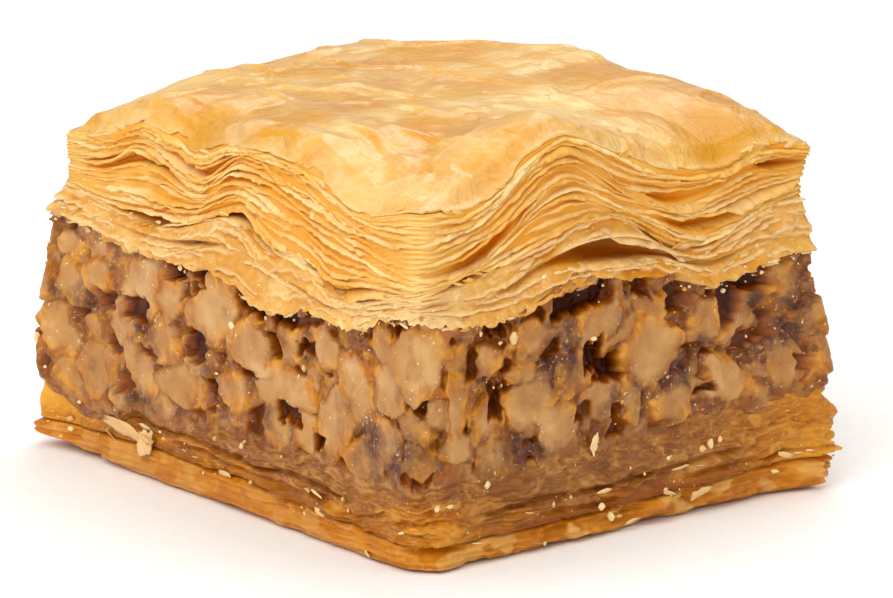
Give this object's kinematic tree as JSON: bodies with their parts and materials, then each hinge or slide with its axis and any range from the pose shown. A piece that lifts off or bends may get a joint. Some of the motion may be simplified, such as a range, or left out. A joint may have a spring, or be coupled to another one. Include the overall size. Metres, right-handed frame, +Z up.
{
  "type": "baklava piece",
  "caption": "Cut block of baklava: a domed stack of thin phyllo leaves over a thick band of chopped walnuts, on a dense syrupy pastry base.",
  "frame": {"origin": "middle of the underside's box, on the surface that the piece lies on", "axes": "+X along the longer side, +Y along the shorter side, away from the front cut, +Z up"},
  "size_m": [0.0634, 0.0524, 0.0398],
  "materials": {
    "soaked_pastry": "phyllo leaves pressed together and soaked in syrup, amber and wet",
    "walnuts": "chopped walnuts, pale where cut and brown on the skin, damp with syrup",
    "baked_pastry": "baked phyllo leaves, golden and brushed with syrup on top, cream at the cut edges"
  },
  "bodies": {
    "root": {"pastry_base": "soaked_pastry", "walnut_filling": "walnuts", "pastry_top": "baked_pastry"}
  },
  "joints": []
}
